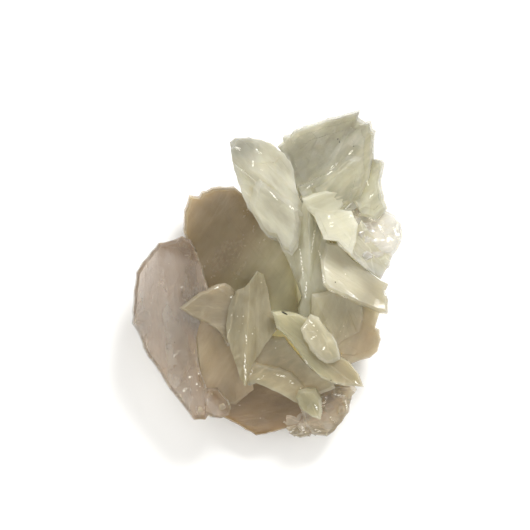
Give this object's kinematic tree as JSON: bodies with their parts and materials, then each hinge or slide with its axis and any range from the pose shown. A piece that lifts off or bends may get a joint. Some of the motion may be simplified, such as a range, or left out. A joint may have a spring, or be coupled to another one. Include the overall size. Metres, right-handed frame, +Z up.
{
  "type": "cluster of intergrown translucent selenite crystal blades",
  "caption": "Cluster of translucent, bladed selenite crystals grown together, cut flat underneath so that it stands by itself.",
  "frame": {"origin": "centre of the bounding box in plan, at the flat cut underneath", "axes": "+Z up from the cut, +Y along the cluster's length towards its tallest blades, +X across it"},
  "size_m": [0.0756, 0.092, 0.036],
  "materials": {
    "selenite": "clear to milky crystal, satin faces with glossy cleavage"
  },
  "bodies": {
    "root": {"crystal_cluster": "selenite"}
  },
  "joints": []
}
